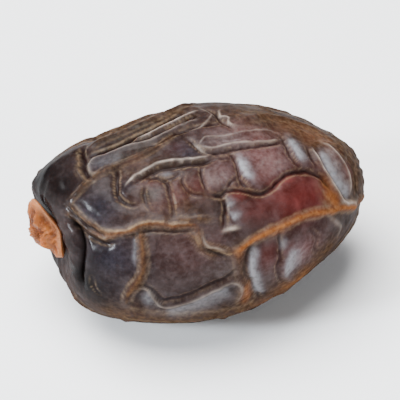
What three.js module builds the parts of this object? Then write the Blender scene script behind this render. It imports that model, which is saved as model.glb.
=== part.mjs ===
// A Medjool date lying on its side: the wrinkled fruit, grown as one piece,
// and the dry calyx cap at its stem end.
// Millimetres and +Z up. The long axis lies along X, with the stem end at -X.
// The origin is on the surface that the date rests on, in the middle of the flat spot under it.
import * as THREE from "three";
import { ConvexHull } from "three/addons/math/ConvexHull.js";

// Driving dimensions of the fruit
const LENGTH = 41;
const WIDTH = 27;
const HEIGHT = 24.2;
const TAPER = 0.08; // how much fatter the stem end is, and how much slimmer the tip
const BOW = 2.3; // how far the middle bends towards the front
const PRESSED = 0.7; // how deep its own weight flattens the underside
const DIMPLE_DEPTH = 3.6; // the hollow at the stem end that holds the calyx
const DIMPLE_RADIUS = 4;
const CREST_RADIUS = 0.2; // the roundness of a fold's crest
const FOLD_END = 0.45; // a fold's height at its ends, as a share of its full height
const FOLD_TAPER = 1.5; // the length over which a fold rises from its ends
const FOLD_REACH = 5; // past this distance a fold changes nothing

// Driving dimensions of the calyx
const CALYX_RADIUS = 3.4;
const CALYX_LOBE = 0.9; // how far its three lobes stand out
const CALYX_LOBE_TURN = -20; // degrees round from the top to the first lobe
const CALYX_CLEARANCE = 0.35; // the gap to the hollow that it sits in
const CALYX_FLARE = 0.1; // how far the lobes lift off the fruit

// Mesh density
const CREST_STEP = 0.66;
const FLANK_WIDTH = 0.6;
const FILL_GAP = 0.9;
const FILL_POINTS = 7000;
const CALYX_ROUND = 54;

// Every place on the fruit is two angles in degrees: "along" runs from 0 at the stem end to 180 at the tip,
// and "round" from 0 at the top over 90 at the front and 180 underneath to 270 at the back.

// Broad swells and hollows: along, round, height and the angle over which it fades.
const swells = [
  [35, 350, 1.4, 26],
  [70, 335, -0.6, 26],
  [97, 335, 1.0, 26],
  [125, 335, -0.9, 26],
  [150, 345, -0.5, 26],
  [38, 112, 1.0, 26],
  [128, 108, -0.4, 26],
  [18, 320, 0.6, 16],
  [20, 115, -1.3, 14],
  [62, 262, 0.7, 24],
  [100, 240, -0.5, 26],
  [118, 275, 0.5, 24],
  [66, 318, -1.0, 16],
  [14, 60, -0.7, 16],
];

// The net of folds in the skin: height (a crease is negative), how wide it fades to the left and to the right
// of its path, and the path itself as places on the fruit. A narrow side makes a steep wall,
// as where one puffed panel of skin stands over the next.
const folds = [
  // the long ridge across the front, which steps round a small panel and runs on to the tip
  [0.45, 0.35, 0.4, [[35, 22], [35.5, 27.5], [37.5, 35], [41, 42], [43.5, 46.5], [47.5, 49.5],
    [51.5, 50.5], [55, 49.5], [58.5, 47.5], [62, 46.5], [65, 48], [69.5, 50], [74, 50.5], [78, 51]]],
  [0.5, 0.4, 0.45, [[78, 51], [77.5, 54], [77.5, 60], [79, 63], [82.5, 65.5], [86.5, 68.8], [90, 68.8],
    [93, 66.5], [96.5, 65], [102, 63], [108, 62], [115, 61.5], [123.5, 64], [134, 69.5], [140, 75.5],
    [148, 85]]],
  [0.4, 0.3, 0.3, [[30, 28], [33, 35], [36.5, 43.5], [40, 49.5], [43.5, 53.5], [48, 53], [51.5, 51.5]]],
  [-0.45, 0.25, 0.25, [[33, 22], [35, 32.5], [38, 41], [41.5, 47.5], [45, 51]]],
  [-0.35, 0.25, 0.35, [[51.5, 53], [58.5, 51.5], [64.5, 51.5], [69.5, 53], [76, 54]]],
  [-0.55, 0.3, 0.6, [[32.5, 39.5], [36, 44.5], [39.5, 51], [43.5, 55.5], [49, 55.5]]],
  [0.35, 0.3, 0.4, [[74, 53], [75.5, 57.5], [77, 63.5], [79.5, 68], [83, 71.5]]],
  [-0.5, 0.25, 0.35, [[78, 64], [81, 66.8], [83.5, 69.5], [86, 72]]],
  [0.25, 0.25, 0.25, [[70, 46.5], [74, 47.3], [80.5, 48.7], [84, 50.5]]],
  [0.4, 0.3, 0.35, [[85.5, 57.5], [88, 56.5], [91, 56.8]]],
  // the ridges and creases round the red panel
  [0.5, 0.3, 0.4, [[128, 19], [128.5, 29], [130, 38], [132, 47], [134.5, 57], [137, 66], [141, 72.5],
    [148, 80]]],
  [-0.6, 0.45, 0.4, [[83.5, 36.5], [87.5, 38.7], [90, 36.7], [93.5, 36.8], [96.5, 38.8], [99, 41],
    [102, 42], [105, 41], [108.5, 37.5], [113, 34.5], [117.5, 34], [123.5, 36], [126.5, 40],
    [129, 45.5], [131, 53.5]]],
  [-0.45, 0.25, 0.8, [[129.5, 22], [130.5, 30], [132, 39], [134.5, 49], [137.5, 59], [141, 66]]],
  [-0.6, 0.35, 0.9, [[87.3, 38.7], [88, 42], [88, 46], [87, 50], [86, 55]]],
  [0.25, 0.4, 0.4, [[128, 19], [130, 15.5], [133, 13], [138, 11], [144, 13], [149, 20]]],
  [-0.3, 0.4, 0.3, [[125.5, 14], [125.3, 25], [126.5, 34.5]]],
  [0.3, 0.3, 0.5, [[133, 13], [138, 15], [141, 23], [143, 34], [144.5, 45], [144.5, 56], [142.5, 64]]],
  // the puffed panel above it
  [-0.65, 0.35, 1, [[93.5, 15], [95.5, 18], [96, 24], [95.5, 29], [96, 34.5], [98, 38.8]]],
  [-0.45, 0.35, 0.35, [[83, 2], [84.5, 7], [86.5, 12], [90, 14.3], [94, 14.6], [98, 13.9], [103, 13.5],
    [109, 13.7], [115, 12.5]]],
  [0.22, 0.2, 0.2, [[86, 8], [88.5, 11], [92.5, 11.6], [98.5, 10.7], [104.5, 11], [110.5, 11.7],
    [115.5, 9.5]]],
  [0.22, 0.2, 0.25, [[86, 8], [87.5, 5.3], [89.5, 4], [94, 5.2], [99, 4.8], [105, 3.4], [111, 3],
    [116, 5]]],
  [-0.25, 0.25, 0.25, [[91, 6.5], [96, 7.5], [102, 7.3], [105, 9.2]]],
  [-0.45, 0.3, 0.8, [[115, 5], [116.3, 12], [116.5, 19.5], [117.3, 26], [119.5, 33]]],
  // the panels in the middle
  [0.32, 0.25, 0.2, [[57.5, 23], [61, 19.3], [64.5, 16.8], [68, 15.2], [72, 14.2], [76, 14.7],
    [80, 15.6], [84, 16.4], [88, 15.3]]],
  [-0.5, 0.3, 0.4, [[61.5, 22.5], [64.5, 19.8], [68.5, 18.2], [72, 17.2], [75.5, 17.6], [80.5, 18.4],
    [84, 19.2], [89, 18]]],
  [-0.55, 0.35, 0.45, [[57.3, 9.8], [56, 14], [54.5, 20.5], [53.7, 26.5], [54.7, 31.5], [56.7, 34.3],
    [59.5, 35]]],
  [-0.5, 0.35, 0.35, [[64.5, 23.5], [66.5, 21.5], [69, 22], [71, 25.5], [71.3, 31], [71, 37],
    [70.5, 45]]],
  [-0.3, 0.3, 0.3, [[64.5, 23.5], [63, 28.5], [62.5, 35], [63.5, 40.5]]],
  [0.25, 0.25, 0.25, [[84.5, 6], [86, 11], [88, 15.3]]],
  [-0.3, 0.3, 0.3, [[70, 18.5], [70.5, 22.5], [73.5, 24.3], [76, 22.5], [76.5, 18.8]]],
  [-0.35, 0.3, 0.3, [[84.5, 20], [83.2, 25.5], [83.2, 31.5], [83.7, 36.5]]],
  [-0.3, 0.3, 0.3, [[89, 18], [92, 18.2], [95.3, 18.7]]],
  [-0.4, 0.3, 0.3, [[95.5, 29], [92.5, 32], [89.5, 36]]],
  [-0.25, 0.3, 0.3, [[77.5, 22], [76.5, 27], [77, 32], [79.5, 36], [83.5, 36.5]]],
  // the long folds along the top
  [0.5, 0.4, 0.4, [[35, 22], [38, 20], [41.5, 17], [45.5, 14], [49.5, 11.2], [53, 10.3], [58.5, 8.8],
    [64, 7.8], [68.5, 6], [72.5, 3.8], [76, 0.8], [79.5, -2.5]]],
  [0.38, 0.3, 0.3, [[50, 10.8], [47.8, 7], [48.2, 2], [50.5, -1], [54, -2], [57, -2.5], [61, -3.2],
    [66, -3.2], [70.5, -2.8], [74.5, -4], [78.5, -6], [84, -8], [90, -10]]],
  [-0.8, 0.35, 0.5, [[50.5, -6], [54, -6.2], [59, -7.5], [63.5, -10], [68, -12.8], [72, -14],
    [76.5, -16.5], [81.5, -19.2], [86.5, -22.5]]],
  [0.3, 0.25, 0.25, [[67.5, -9.8], [71.5, -9.6], [75, -11], [78.5, -13], [82.5, -14.6], [87, -17],
    [91.5, -19]]],
  [-0.45, 0.3, 0.3, [[65, -6.8], [69.5, -6.4], [72.5, -6.6], [77, -8.4], [81, -10.2], [85, -12.2],
    [90, -14.4]]],
  [0.5, 0.55, 0.4, [[50.5, -14], [55.5, -17], [62, -20.5], [70.5, -23.5], [78.5, -26.5], [85.5, -29.5],
    [92, -34]]],
  [-0.65, 0.45, 0.35, [[50, -24], [47.5, -14], [47, -5], [45.5, 0.5], [46, 9], [47.5, 13]]],
  [0.25, 0.25, 0.25, [[45.5, -14], [45, -5], [43.5, 1], [43.8, 9], [45, 14]]],
  [0.25, 0.2, 0.3, [[98.5, -17], [97, -11], [99.5, -8], [99, -4], [102, -1]]],
  [-0.4, 0.35, 0.3, [[93, -20], [95.5, -15], [96.2, -10], [97, -5], [100, 0.5]]],
  [0.22, 0.25, 0.25, [[91.5, -26], [93, -19.5], [94.5, -15], [93.5, -10], [90, -5.5], [85.5, -3]]],
  [-0.3, 0.3, 0.3, [[70, 0.5], [74, 1.8], [79.5, -2.5], [83, -4], [88, -5.2], [97, -5]]],
  [0.35, 0.7, 0.7, [[101.5, -4], [110, -10], [117, -14], [125, -16], [134, -14], [142, -8]]],
  // the stem end
  [-0.9, 0.4, 0.9, [[31, 33], [33.5, 41], [34.8, 50], [34.6, 60], [33.6, 71], [32.5, 82], [32, 93],
    [33, 104]]],
  [-0.35, 0.7, 0.7, [[38, 16], [36, 8], [36.5, -2], [38, -12]]],
  [-0.35, 0.3, 0.3, [[38, 87], [38.5, 95], [41, 99.5]]],
  [0.35, 0.85, 0.85, [[25, 250], [24, 275], [24, 300], [23, 325]]],
  // the lower front
  [0.5, 0.45, 0.45, [[58.5, 48], [58, 57.5], [58, 64.5], [57.3, 72.5], [56, 79.5], [53.5, 86.5],
    [51.5, 94], [51, 101]]],
  [0.35, 0.5, 0.3, [[55, 86], [58, 88], [60, 93.5], [62.5, 99.5], [65.5, 101], [70, 98.5], [75, 95.5],
    [79.5, 92], [84, 88.7], [87, 88], [89, 91], [90, 97], [89.5, 104]]],
  [-0.45, 0.3, 0.5, [[57, 83.5], [60, 89], [63.5, 95.7], [67, 95.4], [71.5, 93], [76, 89.8],
    [80.5, 86.5], [85, 84], [88.5, 78.5]]],
  [0.35, 0.5, 0.5, [[92, 68], [89.8, 71], [89.5, 77.5], [90, 85], [91, 92], [92.5, 101]]],
  [-0.65, 0.35, 1, [[96, 66.5], [93.5, 70.5], [92, 76.5], [91.3, 82], [92.5, 89], [94.5, 96], [96, 104],
    [98, 115]]],
  [-0.4, 0.35, 0.5, [[104.5, 65], [104.7, 75.5], [104, 82.5], [103, 88.5], [104, 95.5], [106, 103]]],
  [0.35, 0.3, 0.9, [[116, 77], [110, 80], [106.8, 84], [105.3, 90], [106.5, 98], [110, 106],
    [113.5, 110]]],
  [0.25, 0.9, 0.9, [[50, 112.5], [56, 113.5], [62.5, 114], [70, 115], [77, 116.5], [84.5, 118.5],
    [91.5, 120.5], [98, 121]]],
  [-0.3, 0.4, 0.4, [[118, 74], [121, 82], [120, 90], [122, 97]]],
  [0.3, 0.4, 0.6, [[126, 68], [131, 79], [134, 88], [133, 98]]],
  // the back and the underside, in long ridges with cross ridges between them
  [0.6, 0.55, 0.55, [[27, 302], [38, 297], [50, 300], [63, 306], [77, 304], [91, 298], [105, 300],
    [119, 306], [133, 303], [147, 290], [156, 281], [164, 268]]],
  [0.55, 0.5, 0.55, [[29, 248], [41, 256], [54, 252], [67, 246], [81, 250], [95, 257], [109, 250],
    [123, 244], [137, 250], [150, 260]]],
  [0.5, 0.5, 0.5, [[26, 206], [39, 213], [53, 208], [65, 200], [79, 196], [93, 203], [107, 210],
    [121, 204], [135, 196], [148, 203], [157, 211], [165, 224]]],
  [0.5, 0.5, 0.5, [[29, 142], [42, 146], [57, 151], [71, 156], [85, 151], [99, 146], [113, 151],
    [127, 148], [141, 138], [151, 128], [160, 136]]],
  [0.5, 0.4, 0.55, [[50, 300], [48, 286], [51, 270], [54, 252]]],
  [0.45, 0.5, 0.4, [[77, 304], [81, 290], [78, 274], [82, 261], [81, 250]]],
  [0.5, 0.4, 0.55, [[105, 300], [103, 286], [107, 270], [109, 250]]],
  [0.45, 0.5, 0.5, [[128, 304], [131, 289], [127, 270], [124, 245]]],
  [0.45, 0.5, 0.5, [[41, 256], [38, 241], [41, 227], [39, 213]]],
  [0.45, 0.4, 0.55, [[67, 246], [65, 231], [68, 216], [65, 200]]],
  [0.45, 0.5, 0.5, [[95, 257], [98, 239], [95, 221], [93, 203]]],
  [0.45, 0.5, 0.5, [[123, 244], [119, 228], [121, 204]]],
  [0.4, 0.4, 0.5, [[63, 306], [66, 318], [62, 330]]],
  [0.35, 0.5, 0.4, [[91, 298], [95, 310], [91, 322]]],
  [0.35, 0.4, 0.5, [[119, 306], [116, 321], [121, 336]]],
  [0.3, 0.5, 0.5, [[57, 151], [54, 141], [53, 131]]],
  [0.3, 0.5, 0.5, [[85, 151], [88, 141], [87, 131]]],
  [0.3, 0.5, 0.5, [[113, 151], [111, 140], [110, 128]]],
  // creases that part the panels between those ridges
  [-0.45, 0.3, 0.4, [[35, 298], [37, 288], [42, 280], [43, 268], [40, 256]]],
  [-0.5, 0.3, 0.5, [[49, 285], [55, 282], [61, 286], [68, 283], [79, 287]]],
  [-0.4, 0.3, 0.4, [[61, 286], [59, 275], [61, 264], [66, 261], [71, 265], [78, 262]]],
  [-0.5, 0.3, 0.5, [[80, 277], [86, 279], [92, 275], [97, 279], [105, 278]]],
  [-0.4, 0.3, 0.4, [[92, 275], [94, 266], [91, 255]]],
  [-0.5, 0.4, 0.4, [[104, 288], [110, 289], [116, 282], [123, 285], [130, 282]]],
  [-0.4, 0.3, 0.4, [[116, 282], [113, 271], [116, 260], [112, 249]]],
  [-0.45, 0.3, 0.5, [[133, 303], [138, 288], [140, 274], [137, 260], [139, 251]]],
  [-0.45, 0.3, 0.5, [[39, 234], [46, 229], [53, 234], [60, 229], [66, 231]]],
  [-0.4, 0.3, 0.4, [[53, 234], [51, 243], [54, 252]]],
  [-0.4, 0.3, 0.4, [[60, 229], [57, 217], [60, 204]]],
  [-0.5, 0.3, 0.5, [[67, 221], [74, 226], [82, 221], [89, 225], [95, 222]]],
  [-0.4, 0.3, 0.4, [[82, 221], [79, 234], [83, 243], [82, 250]]],
  [-0.45, 0.3, 0.5, [[97, 232], [104, 228], [111, 233], [120, 230]]],
  [-0.4, 0.3, 0.4, [[104, 228], [107, 218], [105, 209]]],
  [-0.4, 0.4, 0.3, [[120, 226], [128, 222], [134, 229], [131, 238], [133, 248]]],
  [-0.4, 0.3, 0.4, [[38, 331], [44, 322], [52, 318], [57, 309], [59, 304]]],
  [-0.45, 0.3, 0.4, [[65, 317], [71, 321], [78, 316], [85, 319], [94, 311]]],
  [-0.4, 0.3, 0.4, [[94, 311], [101, 317], [108, 312], [117, 317]]],
  [-0.35, 0.4, 0.4, [[118, 315], [126, 323], [135, 317], [142, 307], [144, 294]]],
  [-0.35, 0.4, 0.4, [[31, 165], [38, 178], [47, 184], [56, 180]]],
  [-0.35, 0.4, 0.4, [[112, 182], [122, 176], [130, 182], [138, 170]]],
  [-0.3, 0.4, 0.4, [[62, 130], [70, 135], [78, 130], [87, 134]]],
  [-0.3, 0.4, 0.4, [[93, 134], [101, 129], [110, 134], [119, 127], [128, 131]]],
  // the tip, where the folds run together
  [0.4, 0.45, 0.45, [[148, 85], [155, 92], [163, 104]]],
  [0.2, 0.6, 0.6, [[142, 352], [150, 358], [158, 6], [166, 18]]],
  [0.2, 0.5, 0.6, [[149, 20], [154, 36], [162, 48]]],
  [-0.35, 0.35, 0.4, [[150, 30], [153, 48], [151, 66], [153, 82]]],
  [-0.35, 0.35, 0.4, [[152, 95], [156, 112], [153, 126]]],
  [-0.35, 0.35, 0.4, [[146, 310], [152, 326], [149, 342], [151, 357]]],
  [-0.35, 0.35, 0.4, [[149, 206], [153, 226], [150, 244], [153, 268], [157, 280]]],
  [-0.3, 0.35, 0.4, [[156, 131], [160, 156], [157, 182], [160, 213]]],
];

const halfSizes = new THREE.Vector3(LENGTH / 2, WIDTH / 2, HEIGHT / 2);
const radians = THREE.MathUtils.degToRad;
const smooth = (t) => THREE.MathUtils.smoothstep(t, 0, 1);

// The unit vector at two angles on the fruit.
function direction(along, round) {
  const a = radians(along);
  const r = radians(round);
  return new THREE.Vector3(-Math.cos(a), -Math.sin(a) * Math.sin(r), Math.sin(a) * Math.cos(r));
}

const swellPlaces = swells.map(([along, round]) => direction(along, round));

// Which way the skin moves when it swells or folds.
function outward(d) {
  return d.clone().divide(halfSizes).normalize();
}

// The fruit's surface before it wrinkled.
function bodyPoint(d) {
  const towardsStem = -d.x;
  const girth = 1 + TAPER * towardsStem;
  const point = new THREE.Vector3(1, girth, girth).multiply(d).multiply(halfSizes);
  const swell = swells.reduce((sum, [, , height, fade], i) => {
    const angle = THREE.MathUtils.radToDeg(d.angleTo(swellPlaces[i]));
    return sum + height * Math.exp(-((angle / fade) ** 2));
  }, 0);
  if (towardsStem > 0) {
    const fromAxis = Math.hypot(point.y, point.z);
    point.x += DIMPLE_DEPTH * Math.exp(-((fromAxis / DIMPLE_RADIUS) ** 2));
  }
  point.y -= BOW * (1 - towardsStem ** 2);
  return point.addScaledVector(outward(d), swell);
}

// A smooth curve through a fold's path, as directions on the fruit.
function curveThrough(path) {
  const curve = new THREE.SplineCurve(path.map(([along, round]) => new THREE.Vector2(along, round)));
  return curve.getPoints((path.length - 1) * 6).map((place) => direction(place.x, place.y));
}

// Each fold as short straight pieces on the body, with its length up to each of them.
const laidFolds = folds.map(([rise, left, right, path]) => {
  const directions = curveThrough(path);
  const points = directions.map(bodyPoint);
  const lengths = [0];
  for (let i = 1; i < points.length; i++) lengths.push(lengths[i - 1] + points[i].distanceTo(points[i - 1]));
  const bounds = new THREE.Box3().setFromPoints(points).expandByScalar(FOLD_REACH);
  return { rise, left, right, directions, points, lengths, bounds };
});

// What one fold does at a point of the body: its rise there, always positive.
function foldHeight(fold, point, normal) {
  if (!fold.bounds.containsPoint(point)) return 0;
  const piece = new THREE.Line3();
  const near = new THREE.Vector3();
  let best = { distance: Infinity };
  for (let i = 1; i < fold.points.length; i++) {
    piece.set(fold.points[i - 1], fold.points[i]);
    const share = piece.closestPointToPointParameter(point, true);
    piece.at(share, near);
    const distance = near.distanceTo(point);
    if (distance < best.distance) best = { distance, i, share, near: near.clone() };
  }
  const forward = fold.points[best.i].clone().sub(fold.points[best.i - 1]).normalize();
  const rightward = forward.cross(normal);
  const side = best.distance > 1e-6 ? point.clone().sub(best.near).dot(rightward) / best.distance : 0;
  const spread = THREE.MathUtils.lerp(fold.left, fold.right, (THREE.MathUtils.clamp(side, -1, 1) + 1) / 2);
  const run = THREE.MathUtils.lerp(fold.lengths[best.i - 1], fold.lengths[best.i], best.share);
  const fromEnd = Math.min(run, fold.lengths.at(-1) - run);
  const share = FOLD_END + (1 - FOLD_END) * smooth(fromEnd / FOLD_TAPER);
  const rounded = Math.hypot(best.distance, CREST_RADIUS) - CREST_RADIUS;
  const fading = 1 - smooth(best.distance / FOLD_REACH);
  return Math.abs(fold.rise) * share * Math.exp(-rounded / spread) * fading;
}

// The wrinkled skin. Folds that meet join without piling up, and the floor presses the underside flat.
function skinPoint(d) {
  const point = bodyPoint(d);
  const normal = outward(d);
  let ridges = 0;
  let creases = 0;
  for (const fold of laidFolds) {
    const cubed = foldHeight(fold, point, normal) ** 3;
    if (fold.rise > 0) ridges += cubed;
    else creases += cubed;
  }
  return point.addScaledVector(normal, Math.cbrt(ridges) - Math.cbrt(creases));
}

// Moves a point from the body's own middle to where the date lies, with its underside pressed flat.
const stand = new THREE.Vector3(1.3, 2, HEIGHT / 2 - PRESSED);
function placed(point) {
  const moved = point.clone().add(stand);
  moved.z = Math.max(moved.z, 0);
  return moved;
}

// Rows of points along every fold, on its crest and then down both flanks,
// and even points over the rest of the skin.
function meshDirections() {
  const found = [];
  const onBody = [];
  const take = (d, gap) => {
    const point = bodyPoint(d);
    if (onBody.some((other) => other.distanceTo(point) < gap)) return;
    found.push(d);
    onBody.push(point);
  };
  for (const offset of [0, FLANK_WIDTH, -FLANK_WIDTH]) {
    const gap = offset === 0 ? CREST_STEP * 0.75 : FLANK_WIDTH * 0.7;
    for (const fold of laidFolds) {
      for (const d of rowAlong(fold, offset)) take(d, gap);
    }
  }
  const goldenAngle = Math.PI * (3 - Math.sqrt(5));
  for (let k = 0; k < FILL_POINTS; k++) {
    const x = 1 - (2 * (k + 0.5)) / FILL_POINTS;
    const ring = Math.sqrt(1 - x * x);
    take(new THREE.Vector3(x, ring * Math.cos(k * goldenAngle), ring * Math.sin(k * goldenAngle)), FILL_GAP);
  }
  return found;
}

// Evenly spaced places along a fold, all moved the same way off its crest.
function rowAlong(fold, offset) {
  const total = fold.lengths.at(-1);
  const count = Math.max(2, Math.round(total / CREST_STEP));
  return Array.from({ length: count + 1 }, (_, k) => {
    const run = (total * k) / count;
    const i = Math.max(1, fold.lengths.findIndex((length) => length >= run - 1e-9));
    const share = (run - fold.lengths[i - 1]) / (fold.lengths[i] - fold.lengths[i - 1]);
    const d = fold.directions[i - 1].clone().lerp(fold.directions[i], share);
    const sideways = fold.points[i].clone().sub(fold.points[i - 1]).normalize().cross(outward(d));
    return d.addScaledVector(sideways.divide(halfSizes), offset).normalize();
  });
}

// The hull of the points on a plain ellipsoid joins each to its nearest neighbours,
// and its triangles carry the skin.
function fruitGeometry() {
  const directions = meshDirections();
  const onEllipsoid = directions.map((d) => d.clone().multiply(halfSizes));
  const numbers = new Map(onEllipsoid.map((p, i) => [p, i]));
  const hull = new ConvexHull().setFromPoints(onEllipsoid);
  const corners = (face) => [0, 1, 2].map((k) => numbers.get(face.getEdge(k).head().point));
  const triangles = hull.faces.flatMap(corners);
  return geometryOf(directions.map((d) => placed(skinPoint(d))), triangles);
}

function geometryOf(points, triangles) {
  const geometry = new THREE.BufferGeometry().setFromPoints(points).setIndex(triangles);
  geometry.computeVertexNormals();
  return geometry;
}

// The calyx's section, from the middle of its underside round the rim to the scar of the stalk:
// distance from its axis, height over the skin, how much of the lobes it takes and how much of the flare.
const calyxSection = [
  [1, 0, 0, 0],
  [2, 0.05, 0.2, 0.1],
  [2.8, 0.08, 0.6, 0.4],
  [CALYX_RADIUS - 0.2, 0.12, 0.9, 0.8],
  [CALYX_RADIUS, 0.3, 1, 1],
  [CALYX_RADIUS - 0.15, 0.55, 1, 1],
  [3.1, 0.8, 0.9, 0.8],
  [2.8, 1.2, 0.8, 0.6],
  [2.45, 1.75, 0.65, 0.4],
  [2.05, 2.3, 0.5, 0.2],
  [1.6, 2.75, 0.3, 0],
  [1.15, 2.9, 0.1, 0],
  [0.7, 2.65, 0, 0],
];

// A place over the skin of the stem end, by its distance from the date's axis.
function overStemEnd(distance, round, height) {
  const along = THREE.MathUtils.radToDeg(Math.asin((2 * distance) / (WIDTH * (1 + TAPER))));
  const point = skinPoint(direction(along, round));
  point.x -= height + CALYX_CLEARANCE;
  return point;
}

// The cap: rings of its section round the date's axis, with the two middles closed by fans.
function calyxGeometry() {
  const points = [];
  const triangles = [];
  calyxSection.forEach(([radius, height, lobed, flared]) => {
    for (let k = 0; k < CALYX_ROUND; k++) {
      const round = (k / CALYX_ROUND) * 360;
      const lobe = Math.cos(radians(3 * (round - CALYX_LOBE_TURN)));
      const flare = CALYX_FLARE * flared * (0.5 + 0.5 * lobe);
      points.push(overStemEnd(radius + CALYX_LOBE * lobed * lobe, round, height + flare));
    }
  });
  const at = (ring, k) => ring * CALYX_ROUND + (k % CALYX_ROUND);
  for (let ring = 1; ring < calyxSection.length; ring++) {
    for (let k = 0; k < CALYX_ROUND; k++) {
      triangles.push(at(ring - 1, k), at(ring, k), at(ring, k + 1));
      triangles.push(at(ring - 1, k), at(ring, k + 1), at(ring - 1, k + 1));
    }
  }
  const underMiddle = points.push(overStemEnd(0, 0, 0)) - 1;
  const scarMiddle = points.push(overStemEnd(0, 0, 2.5)) - 1;
  const last = calyxSection.length - 1;
  for (let k = 0; k < CALYX_ROUND; k++) {
    triangles.push(underMiddle, at(0, k), at(0, k + 1));
    triangles.push(scarMiddle, at(last, k + 1), at(last, k));
  }
  return geometryOf(points.map(placed), triangles);
}

function named(name, geometry, material) {
  const mesh = new THREE.Mesh(geometry, material);
  mesh.name = name;
  return mesh;
}

const skin = new THREE.MeshStandardMaterial({ color: 0x3f2620, roughness: 0.35, metalness: 0 });
const dryCalyx = new THREE.MeshStandardMaterial({ color: 0xb9683a, roughness: 0.6, metalness: 0 });

const date = new THREE.Group();
date.add(named("fruit", fruitGeometry(), skin));
date.add(named("calyx", calyxGeometry(), dryCalyx));

export default date;
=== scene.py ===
import math

import bpy
import numpy as np
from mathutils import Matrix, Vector, noise


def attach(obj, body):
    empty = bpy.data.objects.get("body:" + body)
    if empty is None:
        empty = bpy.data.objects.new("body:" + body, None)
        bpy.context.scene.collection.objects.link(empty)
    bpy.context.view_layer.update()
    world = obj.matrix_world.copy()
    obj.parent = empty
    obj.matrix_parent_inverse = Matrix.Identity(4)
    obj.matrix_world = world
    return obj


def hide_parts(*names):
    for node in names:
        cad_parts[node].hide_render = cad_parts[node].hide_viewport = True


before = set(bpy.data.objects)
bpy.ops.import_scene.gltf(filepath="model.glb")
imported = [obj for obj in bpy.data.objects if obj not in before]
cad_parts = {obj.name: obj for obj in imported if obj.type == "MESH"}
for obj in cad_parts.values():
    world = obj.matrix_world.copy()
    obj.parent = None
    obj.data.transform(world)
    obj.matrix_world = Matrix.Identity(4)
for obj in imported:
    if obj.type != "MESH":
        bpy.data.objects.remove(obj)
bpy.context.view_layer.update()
MM = 0.001

# The body's driving dimensions in millimetres, the same as in the solids.
LENGTH, WIDTH, HEIGHT = 41.0, 27.0, 24.2
HALF = np.array([LENGTH, WIDTH, HEIGHT]) / 2
TAPER = 0.08
BOW = 2.3
PRESSED = 0.7
DIMPLE_DEPTH, DIMPLE_RADIUS = 3.6, 4.0
CREST_RADIUS = 0.2
FOLD_END, FOLD_TAPER, FOLD_REACH = 0.45, 1.5, 5.0
STAND = np.array([1.3, 2.0, HEIGHT / 2 - PRESSED])

# The calyx's dimensions, the same as in the solids.
CALYX_RADIUS = 3.4
CALYX_LOBES, CALYX_LOBE, CALYX_LOBE_TURN = 3, 0.9, -20
CALYX_CLEARANCE = 0.35
CALYX_FLARE = 0.1

# What only this script has. Cells along each edge of the skin's grid, and points on a fold's
# path from one place to the next.
GRID, PATH_STEPS = 128, 6
# How much nearer the mesh lies along a fold, over how many millimetres, and how far and over
# what distance a fold's line wanders.
GATHER, GATHER_REACH = 0.4, 0.5
WANDER, WANDER_SCALE, WANDER_SEEDS = 0.16, 1.5, (8, 9, 10)
# Puckers and the calyx's crumple: height, size and seed of each layer of noise.
PUCKERS = [(0.07, 3.2, 1), (0.03, 1.1, 2)]
CRUMPLES = [(0.36, 1.8, 5), (0.08, 0.6, 6)]
CRUMPLE_SIDEWAYS = 0.8
# Pleats: how high, how many round, how much their line wavers, the size and seed of that waver,
# and the angle along the fruit where they are highest and over which they fade.
STEM_PLEATS = (0.08, 17, 2.5, 5, 3, 22, 9)
TIP_PLEATS = (0.12, 13, 2.0, 4, 4, 168, 7)
# The scar at the tip and the hollow round it: height or depth, and the angle over which it fades.
SCAR_HEIGHT, SCAR_FADE = 0.5, 3.2
HOLLOW_DEPTH, HOLLOW_FADE = 0.35, 7
# The veins of the calyx: how high, how many round, their waver, and its size and seed.
VEIN_HEIGHT, VEINS, VEIN_WAVER, VEIN_WAVER_SIZE, VEIN_SEED = 0.06, 21, 3, 2, 7

# A place on the fruit is two angles: along, 0 at the stem end to 180 at the tip,
# and round, 0 at the top, 90 at the front, 180 underneath and 270 at the back.

# Broad swells and hollows: along, round, height, and the angle over which it fades.
SWELLS = [
    (35, 350, 1.4, 26), (70, 335, -0.6, 26), (97, 335, 1.0, 26), (125, 335, -0.9, 26),
    (150, 345, -0.5, 26), (38, 112, 1.0, 26), (128, 108, -0.4, 26), (18, 320, 0.6, 16),
    (20, 115, -1.3, 14), (62, 262, 0.7, 24), (100, 240, -0.5, 26), (118, 275, 0.5, 24),
    (66, 318, -1.0, 16), (14, 60, -0.7, 16),
]

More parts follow.
